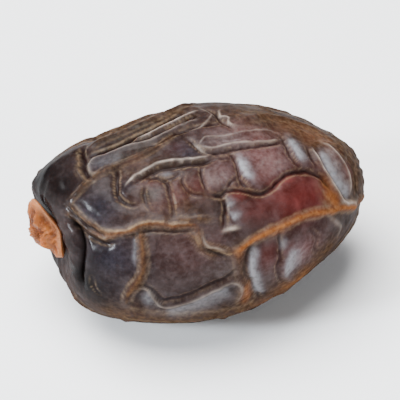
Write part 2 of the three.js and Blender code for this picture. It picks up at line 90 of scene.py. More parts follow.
# Folds: height (a crease is negative), how wide it fades to the left and to the right,
# its tint, how strong and how wide the tint is, and its path as places on the fruit.
# A height of 0 is a band of tint alone, and there left and right multiply the tint's width.
FOLDS = [
    # the long ridge across the front, which steps round a small panel and runs on to the tip
    (0.45, 0.35, 0.4, "tan", 0.9, 0.2, [(35, 22), (35.5, 27.5), (37.5, 35), (41, 42), (43.5, 46.5),
     (47.5, 49.5), (51.5, 50.5), (55, 49.5), (58.5, 47.5), (62, 46.5), (65, 48), (69.5, 50),
     (74, 50.5), (78, 51)]),
    (0.5, 0.4, 0.45, "tan", 0.8, 0.26, [(78, 51), (77.5, 54), (77.5, 60), (79, 63), (82.5, 65.5),
     (86.5, 68.8), (90, 68.8), (93, 66.5), (96.5, 65), (102, 63), (108, 62), (115, 61.5),
     (123.5, 64), (134, 69.5), (140, 75.5), (148, 85)]),
    (0.4, 0.3, 0.3, "tan", 0.7, 0.16, [(30, 28), (33, 35), (36.5, 43.5), (40, 49.5), (43.5, 53.5),
     (48, 53), (51.5, 51.5)]),
    (-0.45, 0.25, 0.25, "crease_shade", 0.8, 0.16, [(33, 22), (35, 32.5), (38, 41), (41.5, 47.5),
     (45, 51)]),
    (-0.35, 0.25, 0.35, "crease_shade", 0.6, 0.16, [(51.5, 53), (58.5, 51.5), (64.5, 51.5), (69.5, 53),
     (76, 54)]),
    (-0.55, 0.3, 0.6, "crease_shade", 0.8, 0.24, [(32.5, 39.5), (36, 44.5), (39.5, 51), (43.5, 55.5),
     (49, 55.5)]),
    (0.35, 0.3, 0.4, "tan", 0.6, 0.22, [(74, 53), (75.5, 57.5), (77, 63.5), (79.5, 68),
     (83, 71.5)]),
    (-0.5, 0.25, 0.35, "crease_shade", 0.9, 0.2, [(78, 64), (81, 66.8), (83.5, 69.5), (86, 72)]),
    (0.25, 0.25, 0.25, "tan", 0.7, 0.2, [(70, 46.5), (74, 47.3), (80.5, 48.7), (84, 50.5)]),
    (0.4, 0.3, 0.35, "crest_highlight", 1, 0.22, [(85.5, 57.5), (88, 56.5), (91, 56.8)]),
    # the ridges and creases round the red panel
    (0.5, 0.3, 0.4, "crest_highlight", 1, 0.17, [(128, 19), (128.5, 29), (130, 38), (132, 47), (134.5, 57),
     (137, 66), (141, 72.5), (148, 80)]),
    (-0.6, 0.45, 0.4, "crease_shade", 0.9, 0.24, [(83.5, 36.5), (87.5, 38.7), (90, 36.7), (93.5, 36.8),
     (96.5, 38.8), (99, 41), (102, 42), (105, 41), (108.5, 37.5), (113, 34.5), (117.5, 34),
     (123.5, 36), (126.5, 40), (129, 45.5), (131, 53.5)]),
    (-0.45, 0.25, 0.8, "crease_shade", 0.35, 0.14, [(129.5, 22), (130.5, 30), (132, 39), (134.5, 49),
     (137.5, 59), (141, 66)]),
    (-0.6, 0.35, 0.9, "crease_shade", 0.9, 0.22, [(87.3, 38.7), (88, 42), (88, 46), (87, 50), (86, 55)]),
    (0.25, 0.4, 0.4, "tan", 0.6, 0.2, [(128, 19), (130, 15.5), (133, 13), (138, 11), (144, 13),
     (149, 20)]),
    (-0.3, 0.4, 0.3, "crease_shade", 0.6, 0.2, [(125.5, 14), (125.3, 25), (126.5, 34.5)]),
    (0.3, 0.3, 0.5, "crest_highlight", 0.6, 0.2, [(133, 13), (138, 15), (141, 23), (143, 34), (144.5, 45),
     (144.5, 56), (142.5, 64)]),
    # the puffed panel above it
    (-0.65, 0.35, 1, "crease_shade", 0.8, 0.2, [(93.5, 15), (95.5, 18), (96, 24), (95.5, 29), (96, 34.5),
     (98, 38.8)]),
    (-0.45, 0.35, 0.35, "crease_shade", 0.85, 0.2, [(83, 2), (84.5, 7), (86.5, 12), (90, 14.3), (94, 14.6),
     (98, 13.9), (103, 13.5), (109, 13.7), (115, 12.5)]),
    (0.22, 0.2, 0.2, "crest_highlight", 0.5, 0.12, [(86, 8), (88.5, 11), (92.5, 11.6), (98.5, 10.7),
     (104.5, 11), (110.5, 11.7), (115.5, 9.5)]),
    (0.22, 0.2, 0.25, "crest_highlight", 0.25, 0.12, [(86, 8), (87.5, 5.3), (89.5, 4), (94, 5.2), (99, 4.8),
     (105, 3.4), (111, 3), (116, 5)]),
    (-0.25, 0.25, 0.25, "none", 0, 0.2, [(91, 6.5), (96, 7.5), (102, 7.3), (105, 9.2)]),
    (-0.45, 0.3, 0.8, "crease_shade", 0.7, 0.2, [(115, 5), (116.3, 12), (116.5, 19.5), (117.3, 26),
     (119.5, 33)]),
    # the panels in the middle
    (0.32, 0.6, 0.18, "crest_highlight", 0.9, 0.13, [(57.5, 23), (61, 19.3), (64.5, 16.8), (68, 15.2),
     (72, 14.2), (76, 14.7), (80, 15.6), (84, 16.4), (88, 15.3)]),
    (-0.5, 0.3, 0.4, "crease_shade", 0.85, 0.2, [(61.5, 22.5), (64.5, 19.8), (68.5, 18.2), (72, 17.2),
     (75.5, 17.6), (80.5, 18.4), (84, 19.2), (89, 18)]),
    (-0.55, 0.35, 0.45, "crease_shade", 0.9, 0.2, [(57.3, 9.8), (56, 14), (54.5, 20.5), (53.7, 26.5),
     (54.7, 31.5), (56.7, 34.3), (59.5, 35)]),
    (-0.5, 0.35, 0.35, "crease_shade", 0.85, 0.2, [(64.5, 23.5), (66.5, 21.5), (69, 22), (71, 25.5),
     (71.3, 31), (71, 37), (70.5, 45)]),
    (-0.3, 0.3, 0.3, "crease_shade", 0.6, 0.18, [(64.5, 23.5), (63, 28.5), (62.5, 35), (63.5, 40.5)]),
    (0.25, 0.25, 0.25, "crest_highlight", 0.7, 0.14, [(84.5, 6), (86, 11), (88, 15.3)]),
    (-0.3, 0.3, 0.3, "crease_shade", 0.6, 0.16, [(70, 18.5), (70.5, 22.5), (73.5, 24.3), (76, 22.5),
     (76.5, 18.8)]),
    (-0.35, 0.3, 0.3, "crease_shade", 0.75, 0.18, [(84.5, 20), (83.2, 25.5), (83.2, 31.5), (83.7, 36.5)]),
    (-0.3, 0.3, 0.3, "crease_shade", 0.5, 0.18, [(89, 18), (92, 18.2), (95.3, 18.7)]),
    (-0.4, 0.3, 0.3, "crease_shade", 0.75, 0.18, [(95.5, 29), (92.5, 32), (89.5, 36)]),
    (-0.25, 0.3, 0.3, "crease_shade", 0.5, 0.16, [(77.5, 22), (76.5, 27), (77, 32), (79.5, 36),
     (83.5, 36.5)]),
    # the long folds along the top
    (0.5, 0.4, 0.4, "tan", 0.7, 0.28, [(35, 22), (38, 20), (41.5, 17), (45.5, 14), (49.5, 11.2),
     (53, 10.3), (58.5, 8.8), (64, 7.8), (68.5, 6), (72.5, 3.8), (76, 0.8), (79.5, -2.5)]),
    (0.38, 0.3, 0.3, "crest_highlight", 0.3, 0.14, [(50, 10.8), (47.8, 7), (48.2, 2), (50.5, -1), (54, -2),
     (57, -2.5), (61, -3.2), (66, -3.2), (70.5, -2.8), (74.5, -4), (78.5, -6), (84, -8),
     (90, -10)]),
    (-0.8, 0.35, 0.5, "crease_shade", 1, 0.34, [(50.5, -6), (54, -6.2), (59, -7.5), (63.5, -10),
     (68, -12.8), (72, -14), (76.5, -16.5), (81.5, -19.2), (86.5, -22.5)]),
    (0.3, 0.25, 0.25, "crest_highlight", 0.75, 0.15, [(67.5, -9.8), (71.5, -9.6), (75, -11), (78.5, -13),
     (82.5, -14.6), (87, -17), (91.5, -19)]),
    (-0.45, 0.3, 0.3, "crease_shade", 0.9, 0.22, [(65, -6.8), (69.5, -6.4), (72.5, -6.6), (77, -8.4),
     (81, -10.2), (85, -12.2), (90, -14.4)]),
    (0.5, 0.55, 0.4, "tan", 0.5, 0.45, [(50.5, -14), (55.5, -17), (62, -20.5), (70.5, -23.5),
     (78.5, -26.5), (85.5, -29.5), (92, -34)]),
    (-0.65, 0.45, 0.35, "crease_shade", 0.9, 0.28, [(50, -24), (47.5, -14), (47, -5), (45.5, 0.5), (46, 9),
     (47.5, 13)]),
    (0.25, 0.25, 0.25, "tan", 0.4, 0.18, [(45.5, -14), (45, -5), (43.5, 1), (43.8, 9), (45, 14)]),
    (0.25, 0.2, 0.3, "crest_highlight", 0.6, 0.12, [(98.5, -17), (97, -11), (99.5, -8), (99, -4), (102, -1)]),
    (-0.4, 0.35, 0.3, "crease_shade", 0.8, 0.2, [(93, -20), (95.5, -15), (96.2, -10), (97, -5),
     (100, 0.5)]),
    (0.22, 0.25, 0.25, "crest_highlight", 0.35, 0.12, [(91.5, -26), (93, -19.5), (94.5, -15), (93.5, -10),
     (90, -5.5), (85.5, -3)]),
    (-0.3, 0.3, 0.3, "crease_shade", 0.6, 0.2, [(70, 0.5), (74, 1.8), (79.5, -2.5), (83, -4), (88, -5.2),
     (97, -5)]),
    (0.35, 0.7, 0.7, "tan", 0.35, 0.6, [(101.5, -4), (110, -10), (117, -14), (125, -16),
     (134, -14), (142, -8)]),
    # the stem end
    # the deep crease, its near-black tint a painted shade
    (-0.9, 0.4, 0.9, "gap", 1, 0.5, [(31, 33), (33.5, 41), (34.8, 50), (34.6, 60), (33.6, 71),
     (32.5, 82), (32, 93), (33, 104)]),
    (-0.35, 0.7, 0.7, "none", 0, 0.5, [(38, 16), (36, 8), (36.5, -2), (38, -12)]),
    (-0.35, 0.3, 0.3, "crease_shade", 0.8, 0.2, [(38, 87), (38.5, 95), (41, 99.5)]),
    (0.35, 0.85, 0.85, "none", 0, 0.5, [(25, 250), (24, 275), (24, 300), (23, 325)]),
    # the lower front
    (0.5, 0.45, 0.45, "tan", 0.9, 0.36, [(58.5, 48), (58, 57.5), (58, 64.5), (57.3, 72.5),
     (56, 79.5), (53.5, 86.5), (51.5, 94), (51, 101)]),
    (0.35, 0.5, 0.3, "crest_highlight", 0.35, 0.16, [(55, 86), (58, 88), (60, 93.5), (62.5, 99.5),
     (65.5, 101), (70, 98.5), (75, 95.5), (79.5, 92), (84, 88.7), (87, 88), (89, 91), (90, 97),
     (89.5, 104)]),
    (-0.45, 0.3, 0.5, "crease_shade", 0.45, 0.2, [(57, 83.5), (60, 89), (63.5, 95.7), (67, 95.4),
     (71.5, 93), (76, 89.8), (80.5, 86.5), (85, 84), (88.5, 78.5)]),
    (0.35, 0.5, 0.5, "tan", 0.6, 0.45, [(92, 68), (89.8, 71), (89.5, 77.5), (90, 85), (91, 92),
     (92.5, 101)]),
    (-0.65, 0.35, 1, "crease_shade", 0.6, 0.2, [(96, 66.5), (93.5, 70.5), (92, 76.5), (91.3, 82),
     (92.5, 89), (94.5, 96), (96, 104), (98, 115)]),
    (-0.4, 0.35, 0.5, "crease_shade", 0.7, 0.2, [(104.5, 65), (104.7, 75.5), (104, 82.5), (103, 88.5),
     (104, 95.5), (106, 103)]),
    (0.35, 0.3, 0.9, "none", 0, 0.5, [(116, 77), (110, 80), (106.8, 84), (105.3, 90), (106.5, 98),
     (110, 106), (113.5, 110)]),
    (0.25, 0.9, 0.9, "tan", 0.7, 0.9, [(50, 112.5), (56, 113.5), (62.5, 114), (70, 115),
     (77, 116.5), (84.5, 118.5), (91.5, 120.5), (98, 121)]),
    (-0.3, 0.4, 0.4, "crease_shade", 0.4, 0.24, [(118, 74), (121, 82), (120, 90), (122, 97)]),
    (0.3, 0.4, 0.6, "crest_highlight", 0.3, 0.3, [(126, 68), (131, 79), (134, 88), (133, 98)]),
    # the back and the underside, in long ridges with cross ridges between them
    (0.6, 0.55, 0.55, "tan", 0.9, 0.5, [(27, 302), (38, 297), (50, 300), (63, 306), (77, 304),
     (91, 298), (105, 300), (119, 306), (133, 303), (147, 290), (156, 281), (164, 268)]),
    (0.55, 0.5, 0.55, "tan", 0.8, 0.5, [(29, 248), (41, 256), (54, 252), (67, 246), (81, 250),
     (95, 257), (109, 250), (123, 244), (137, 250), (150, 260)]),
    (0.5, 0.5, 0.5, "amber", 0.7, 0.4, [(26, 206), (39, 213), (53, 208), (65, 200), (79, 196),
     (93, 203), (107, 210), (121, 204), (135, 196), (148, 203), (157, 211), (165, 224)]),
    (0.5, 0.5, 0.5, "tan", 0.8, 0.5, [(29, 142), (42, 146), (57, 151), (71, 156), (85, 151),
     (99, 146), (113, 151), (127, 148), (141, 138), (151, 128), (160, 136)]),
    (0.5, 0.4, 0.55, "tan", 0.6, 0.4, [(50, 300), (48, 286), (51, 270), (54, 252)]),
    (0.45, 0.5, 0.4, "tan", 0.6, 0.35, [(77, 304), (81, 290), (78, 274), (82, 261), (81, 250)]),
    (0.5, 0.4, 0.55, "amber", 0.5, 0.4, [(105, 300), (103, 286), (107, 270), (109, 250)]),
    (0.45, 0.5, 0.5, "tan", 0.6, 0.4, [(128, 304), (131, 289), (127, 270), (124, 245)]),
    (0.45, 0.5, 0.5, "tan", 0.6, 0.4, [(41, 256), (38, 241), (41, 227), (39, 213)]),
    (0.45, 0.4, 0.55, "amber", 0.5, 0.35, [(67, 246), (65, 231), (68, 216), (65, 200)]),
    (0.45, 0.5, 0.5, "tan", 0.6, 0.4, [(95, 257), (98, 239), (95, 221), (93, 203)]),
    (0.45, 0.5, 0.5, "tan", 0.6, 0.35, [(123, 244), (119, 228), (121, 204)]),
    (0.4, 0.4, 0.5, "tan", 0.6, 0.35, [(63, 306), (66, 318), (62, 330)]),
    (0.35, 0.5, 0.4, "tan", 0.6, 0.35, [(91, 298), (95, 310), (91, 322)]),
    (0.35, 0.4, 0.5, "tan", 0.6, 0.35, [(119, 306), (116, 321), (121, 336)]),
    (0.3, 0.5, 0.5, "tan", 0.6, 0.4, [(57, 151), (54, 141), (53, 131)]),
    (0.3, 0.5, 0.5, "tan", 0.6, 0.4, [(85, 151), (88, 141), (87, 131)]),
    (0.3, 0.5, 0.5, "tan", 0.6, 0.4, [(113, 151), (111, 140), (110, 128)]),
    # creases that part the panels between those ridges
    (-0.45, 0.3, 0.4, "crease_shade", 0.8, 0.2, [(35, 298), (37, 288), (42, 280), (43, 268), (40, 256)]),
    (-0.5, 0.3, 0.5, "crease_shade", 0.8, 0.2, [(49, 285), (55, 282), (61, 286), (68, 283), (79, 287)]),
    (-0.4, 0.3, 0.4, "crease_shade", 0.8, 0.18, [(61, 286), (59, 275), (61, 264), (66, 261), (71, 265),
     (78, 262)]),
    (-0.5, 0.3, 0.5, "crease_shade", 0.8, 0.2, [(80, 277), (86, 279), (92, 275), (97, 279), (105, 278)]),
    (-0.4, 0.3, 0.4, "crease_shade", 0.8, 0.18, [(92, 275), (94, 266), (91, 255)]),
    (-0.5, 0.4, 0.4, "crease_shade", 0.8, 0.2, [(104, 288), (110, 289), (116, 282), (123, 285),
     (130, 282)]),
    (-0.4, 0.3, 0.4, "crease_shade", 0.8, 0.18, [(116, 282), (113, 271), (116, 260), (112, 249)]),
    (-0.45, 0.3, 0.5, "crease_shade", 0.8, 0.2, [(133, 303), (138, 288), (140, 274), (137, 260),
     (139, 251)]),
    (-0.45, 0.3, 0.5, "crease_shade", 0.8, 0.2, [(39, 234), (46, 229), (53, 234), (60, 229), (66, 231)]),
    (-0.4, 0.3, 0.4, "crease_shade", 0.8, 0.18, [(53, 234), (51, 243), (54, 252)]),
    (-0.4, 0.3, 0.4, "crease_shade", 0.8, 0.18, [(60, 229), (57, 217), (60, 204)]),
    (-0.5, 0.3, 0.5, "crease_shade", 0.8, 0.2, [(67, 221), (74, 226), (82, 221), (89, 225), (95, 222)]),
    (-0.4, 0.3, 0.4, "crease_shade", 0.8, 0.18, [(82, 221), (79, 234), (83, 243), (82, 250)]),
    (-0.45, 0.3, 0.5, "crease_shade", 0.8, 0.2, [(97, 232), (104, 228), (111, 233), (120, 230)]),
    (-0.4, 0.3, 0.4, "crease_shade", 0.8, 0.18, [(104, 228), (107, 218), (105, 209)]),
    (-0.4, 0.4, 0.3, "crease_shade", 0.8, 0.18, [(120, 226), (128, 222), (134, 229), (131, 238),
     (133, 248)]),
    (-0.4, 0.3, 0.4, "crease_shade", 0.8, 0.18, [(38, 331), (44, 322), (52, 318), (57, 309), (59, 304)]),
    (-0.45, 0.3, 0.4, "crease_shade", 0.8, 0.18, [(65, 317), (71, 321), (78, 316), (85, 319), (94, 311)]),
    (-0.4, 0.3, 0.4, "crease_shade", 0.8, 0.18, [(94, 311), (101, 317), (108, 312), (117, 317)]),
    (-0.35, 0.4, 0.4, "crease_shade", 0.6, 0.2, [(118, 315), (126, 323), (135, 317), (142, 307),
     (144, 294)]),
    (-0.35, 0.4, 0.4, "crease_shade", 0.6, 0.2, [(31, 165), (38, 178), (47, 184), (56, 180)]),
    (-0.35, 0.4, 0.4, "crease_shade", 0.6, 0.2, [(112, 182), (122, 176), (130, 182), (138, 170)]),
    (-0.3, 0.4, 0.4, "crease_shade", 0.6, 0.2, [(62, 130), (70, 135), (78, 130), (87, 134)]),
    (-0.3, 0.4, 0.4, "crease_shade", 0.6, 0.2, [(93, 134), (101, 129), (110, 134), (119, 127),
     (128, 131)]),
    # the tip, where the folds run together
    (0.4, 0.45, 0.45, "amber", 0.5, 0.4, [(148, 85), (155, 92), (163, 104)]),
    (0.2, 0.6, 0.6, "tan", 0.5, 0.4, [(142, 352), (150, 358), (158, 6), (166, 18)]),
    (0.2, 0.5, 0.6, "tan", 0.5, 0.35, [(149, 20), (154, 36), (162, 48)]),
    (-0.35, 0.35, 0.4, "crease_shade", 0.6, 0.2, [(150, 30), (153, 48), (151, 66), (153, 82)]),
    (-0.35, 0.35, 0.4, "crease_shade", 0.6, 0.2, [(152, 95), (156, 112), (153, 126)]),
    (-0.35, 0.35, 0.4, "crease_shade", 0.6, 0.2, [(146, 310), (152, 326), (149, 342), (151, 357)]),
    (-0.35, 0.35, 0.4, "crease_shade", 0.6, 0.2, [(149, 206), (153, 226), (150, 244), (153, 268),
     (157, 280)]),
    (-0.3, 0.35, 0.4, "crease_shade", 0.6, 0.2, [(156, 131), (160, 156), (157, 182), (160, 213)]),
    # bands of tint with no relief of their own: pale sheens, then amber, pale rims and crest lines;
    # the sheens, rims and crest lines are painted highlights
    (0, 1.9, 0.6, "sheen", 1, 0.4, [(97, 18.5), (97.4, 23.5), (97.8, 29), (99, 34.5)]),
    (0, 2, 0.6, "sheen", 1, 0.45, [(118.4, 8.5), (119.3, 16), (120, 23.5), (120.3, 29)]),
    (0, 2, 0.6, "sheen", 0.7, 0.36, [(89, 40.5), (89.2, 46)]),
    (0, 2.2, 0.5, "sheen", 1, 0.42, [(89.3, 47), (90, 53.5)]),
    (0, 1.4, 0.5, "sheen", 1, 0.5, [(95.3, 68.5), (94.1, 74.5), (93.8, 82.5), (94.8, 93),
     (97, 109)]),
    (0, 2.2, 0.6, "sheen", 0.9, 0.85, [(110.5, 77), (107.6, 84), (107, 91), (108, 99)]),
    (0, 1.6, 0.6, "sheen", 0.7, 0.4, [(105.4, 69), (105.2, 78)]),
    (0, 2, 0.6, "sheen", 0.9, 0.5, [(131.4, 20), (131.8, 30), (133.2, 39), (135.4, 49),
     (138.4, 59), (141.8, 67)]),
    (0, 1.8, 0.5, "sheen", 0.45, 0.9, [(86, 90.5), (84, 91.5), (79, 95), (74, 99), (69, 103),
     (64, 104.5)]),
    (0, 1, 1, "sheen", 0.35, 0.6, [(59, 88), (58, 95), (60, 101)]),
    (0, 1, 1, "sheen", 0.3, 0.5, [(70, 19.5), (73, 21), (75, 21)]),
    (0, 1, 1, "sheen", 0.35, 0.2, [(55.5, 55), (55, 62), (54.5, 72)]),
    (0, 1, 1, "sheen", 0.15, 0.6, [(50.5, 3), (53, 4.5), (57, 4), (61, 3)]),
    (0, 1, 1, "amber", 1, 0.36, [(87.5, 68.8), (90, 68.8), (93, 66.5), (96.5, 65), (102, 63),
     (108, 62), (115, 61.5), (123.5, 64), (134, 69.5), (140, 75.5), (148, 85)]),
    (0, 1, 1, "amber", 0.1, 0.4, [(58.5, 49), (58, 57.5), (58, 64.5), (57.3, 72.5), (56, 79.5),
     (53.5, 86.5), (51.5, 94)]),
    (0, 1, 1, "amber", 0.25, 0.3, [(40, 46), (43.5, 50.5), (51.5, 50.8), (55, 49.8), (58.5, 48),
     (62, 47), (65, 48.4), (69.5, 50.4), (74, 51), (78, 52)]),
    (0, 1, 1, "amber", 0.9, 0.6, [(127, 41), (129.3, 49), (131.3, 57), (134, 64)]),
    (0, 1, 1, "amber", 1, 0.9, [(128, 50), (130, 57), (132, 63), (134, 68)]),
    (0, 1, 1, "amber", 0.9, 0.7, [(90.5, 69), (89.6, 71.5), (89.3, 74)]),
    (0, 1, 1, "amber", 0.6, 0.7, [(91, 91), (92, 97), (92.5, 104), (92.5, 112)]),
    (0, 1, 1, "amber", 0.6, 0.4, [(100, 65.5), (104, 65), (108, 64.5)]),
    (0, 1, 1, "rim", 1, 0.12, [(43, 45.3), (47.5, 48.3), (51.5, 49.3), (55, 48.3), (58.5, 46.4),
     (62, 45.4), (65, 47), (69.5, 49), (74, 49.5)]),
    (0, 1, 1, "crest_highlight", 0.4, 0.12, [(78, 55), (79, 62.3), (82, 65), (86, 68.2)]),
    (0, 1, 1, "rim", 1, 0.12, [(80, 66), (84, 68.5), (88, 69.5), (92, 67.5), (96, 65.2), (102, 63),
     (108, 62), (115, 61.5), (123.5, 64), (132, 68.5)]),
]

# Patches of skin: along, round, the angle over which it fades, and how strong it is.
ZONES = {
    "mauve": [
        (106, 24, 13, 0.9), (104, 7, 12, 0.8), (91, 27, 8, 0.6), (113, 86, 11, 0.9),
        (99, 84, 8, 0.4), (75, 66, 12, 0.35), (66, 32, 7, 0.4), (80, 280, 12, 0.5),
        (110, 225, 14, 0.5), (50, 225, 12, 0.4),
    ],
    "slate": [
        (45, 33, 9, 0.9), (46, 68, 12, 1.0), (43, 88, 10, 0.6), (55, 3, 9, 0.7), (66, 100, 8, 0.5),
        (80, 9, 5, 0.6), (82, 12, 4, 0.9), (57, 23, 4, 0.8), (67, 31, 5, 0.7), (98, 280, 12, 0.5),
        (70, 215, 12, 0.4), (130, 270, 12, 0.4),
    ],
    "red": [
        (116, 50, 14, 1.0), (100, 50, 9, 0.5), (107, 29, 9, 0.35), (112, 78, 10, 0.2),
        (100, 76, 7, 0.5), (138, 30, 8, 0.3), (100, 270, 18, 0.4), (60, 230, 14, 0.3),
        (128, 200, 14, 0.4), (145, 44, 6, 0.7), (66, 26, 4, 0.35), (73, 33, 7, 0.3),
        (80, 31, 6, 0.35), (76, 8, 5, 0.12), (63, 9, 4, 0.25), (108, 38, 4, 0.9),
        (113, 37.5, 4, 0.9), (94, 40, 4, 0.7), (121, 52, 9, 1.0),
    ],
    "umber": [
        (71, -21, 7, 1.0), (61, -16, 7, 0.9), (60, 4.5, 5, 1.0), (67, 2, 5, 0.9), (65, 30, 5, 1.0),
        (74, 12, 5, 0.5), (122, -14, 10, 0.8), (113, -4, 6, 0.6),
    ],
    # grey patches: partly the skin's greyish bloom, partly a painted sheen on the panels
    "ash_and_sheen": [
        (137, 24, 4.5, 0.95), (137, 34, 4.5, 0.95), (138.5, 45, 4.5, 0.95), (140.5, 55, 4.5, 0.8),
        (84, 78, 6, 0.3), (88.5, 29.5, 4.5, 0.5), (108, 27, 6, 0.5), (96, 8, 6, 0.5),
        (68, 31, 4, 0.3), (92, 262, 6, 0.4), (66, 222, 6, 0.4),
    ],
    "amber": [
        (102.5, 127, 9, 0.3), (112.5, 113, 8, 0.4), (126, -7, 12, 0.22), (134, 5, 10, 0.3),
    ],
    "tan": [
        (116, 345, 16, 0.7), (134, 350, 18, 0.7), (152, 10, 14, 0.7), (148, 60, 10, 0.7),
        (166, 20, 22, 0.6), (52, 120, 12, 0.8), (70, 120, 14, 0.8), (90, 124, 16, 0.8),
        (112, 112, 12, 0.9), (126, 104, 10, 0.7), (70, 38, 14, 0.25), (62, 12, 8, 0.35),
        (78, 330, 14, 0.4), (150, 200, 20, 0.5), (60, 180, 24, 0.4), (100, 170, 24, 0.4),
    ],
    "black": [
        (46, 30, 6, 0.35), (40, 66, 6, 0.5), (27, 340, 20, 1.0), (33, 5, 12, 0.9),
        (29, 60, 7, 0.6), (38, 57, 5, 0.5), (38, 72, 6, 0.6), (33, 98, 13, 1.0),
        (22, 200, 16, 0.7), (22, 270, 16, 0.6), (37, 84, 7, 0.7), (40, 103, 8, 0.8),
        (56, -7, 4, 0.6), (63, -8.5, 4, 0.5),
    ],
}


def unit(along, around):
    """The unit vector at two angles on the fruit."""
    a, r = np.broadcast_arrays(np.radians(along), np.radians(around))
    return np.stack([-np.cos(a), -np.sin(a) * np.sin(r), np.sin(a) * np.cos(r)], -1)


def normalised(v):
    return v / np.linalg.norm(v, axis=-1, keepdims=True)


def degrees_from(d, along, around):
    """The angle between directions and one place on the fruit."""
    return np.degrees(np.arccos(np.clip(d @ unit(along, around), -1, 1)))


def outward(d):
    """Which way the skin moves when it swells or folds."""
    return normalised(d / HALF)


def body_point(d):
    """The fruit's surface before it wrinkled."""
    stem = -d[:, 0]
    girth = 1 + TAPER * stem
    p = d * HALF
    p[:, 1:] *= girth[:, None]
    swell = sum(h * np.exp(-((degrees_from(d, a, r) / fade) ** 2)) for a, r, h, fade in SWELLS)
    from_axis = np.hypot(p[:, 1], p[:, 2])
    p[:, 0] += np.where(stem > 0, DIMPLE_DEPTH * np.exp(-((from_axis / DIMPLE_RADIUS) ** 2)), 0)
    p[:, 1] -= BOW * (1 - stem**2)
    return p + outward(d) * swell[:, None]


def smooth(t):
    t = np.clip(t, 0, 1)
    return t * t * (3 - 2 * t)


def smooth_rows(rows, steps):
    """A smooth curve through rows of numbers, in steps from each row to the next."""
    p = np.array(rows, float)
    p = np.vstack([p[0], p, p[-1]])
    t = np.arange(steps)[:, None] / steps
    spans = []
    for a, b, c, e in zip(p, p[1:], p[2:], p[3:]):
        bend = (2 * a - 5 * b + 4 * c - e) * t**2 + (3 * b - a - 3 * c + e) * t**3
        spans.append(b + 0.5 * ((c - a) * t + bend))
    return np.vstack([*spans, p[-2]])


def grain(points, scale, seed, octaves=3):
    """Smooth noise of about -1 to 1 at points, with features of about scale millimetres."""
    shift = Vector((seed * 17.3, seed * 5.1, seed * 9.7))
    return np.array([noise.fractal(Vector(p) / scale + shift, 1.0, 2.0, octaves) for p in points])


def layered(points, layers):
    """The sum of layers of noise, each with its height, size and seed."""
    return sum(height * grain(points, size, seed) for height, size, seed in layers)


def pleats(points, along, around, height, count, waver, size, seed, highest, fade):
    """The height of the pleats that run lengthwise round one end of the fruit."""
    wave = np.cos(np.radians(around * count) + waver * grain(points, size, seed))
    return height * wave * np.exp(-(((along - highest) / fade) ** 2))


# The tints that folds have; a row with the tint "none" has no colour of its own. The tints along
# the creases and in the gap at the stem end are painted shade; sheens, pale rims and crest lines
# are painted highlights.
TINTS = ("amber", "tan", "crest_highlight", "crease_shade", "sheen", "rim", "gap")

# How strong the paler rim, a painted highlight, is on both sides of a fold of some tint, and, for
# each millimetre of the tint's width, how far out the rim lies and how wide it is.
EDGED = {"crease_shade": 0.55, "amber": 0.4, "tan": 0.4}
RIM_OFFSET, RIM_WIDTH = 1.7, 0.45

# How much of a tint is left at a fold's end, and the length over which it grows to the full.
TINT_END, TINT_TAPER = 0.25, 1.5


def near_fold(path, points, normals):
    """Which points are within reach of a fold, how far they are from its line, the way from it
    to them, on which side they are (-1 left, 1 right) and how far from its ends."""
    places = smooth_rows(path, PATH_STEPS)
    line = body_point(unit(places[:, 0], places[:, 1]))
    above, below = points > line.min(0) - FOLD_REACH, points < line.max(0) + FOLD_REACH
    chosen = np.flatnonzero(np.all(above & below, axis=1))
    p = points[chosen]
    start, step = line[:-1], np.diff(line, axis=0)
    size = np.linalg.norm(step, axis=1)
    lengths = np.concatenate([[0], np.cumsum(size)])
    best, way = np.full(len(p), np.inf), np.zeros_like(p)
    side, run = np.zeros(len(p)), np.zeros(len(p))
    for i in range(len(step)):
        share = np.clip((p - start[i]) @ step[i] / size[i] ** 2, 0, 1)
        gap = p - start[i] - share[:, None] * step[i]
        distance = np.linalg.norm(gap, axis=1)
        nearer = distance < best
        rightward = np.cross(step[i] / size[i], normals[chosen])
        turned = np.einsum("ij,ij->i", gap, rightward) / np.maximum(distance, 1e-6)
        best = np.where(nearer, distance, best)
        way = np.where(nearer[:, None], gap, way)
        side = np.where(nearer, np.clip(turned, -1, 1), side)
        run = np.where(nearer, lengths[i] + share * size[i], run)
    return chosen, best, way, side, np.minimum(run, lengths[-1] - run)


def gathered(d, folds):
    """Directions drawn a little towards the folds, so that the mesh is finest along them."""
    points, normals = body_point(d), outward(d)
    nearest, shift = np.full(len(d), np.inf), np.zeros_like(points)
    for *_, path in folds:
        chosen, distance, way, _, _ = near_fold(path, points, normals)
        closer = distance < nearest[chosen]
        shift[chosen[closer]] = way[closer]
        nearest[chosen[closer]] = distance[closer]
    pull = GATHER * np.exp(-((nearest / GATHER_REACH) ** 2))
    return normalised(d - shift * pull[:, None] / HALF)


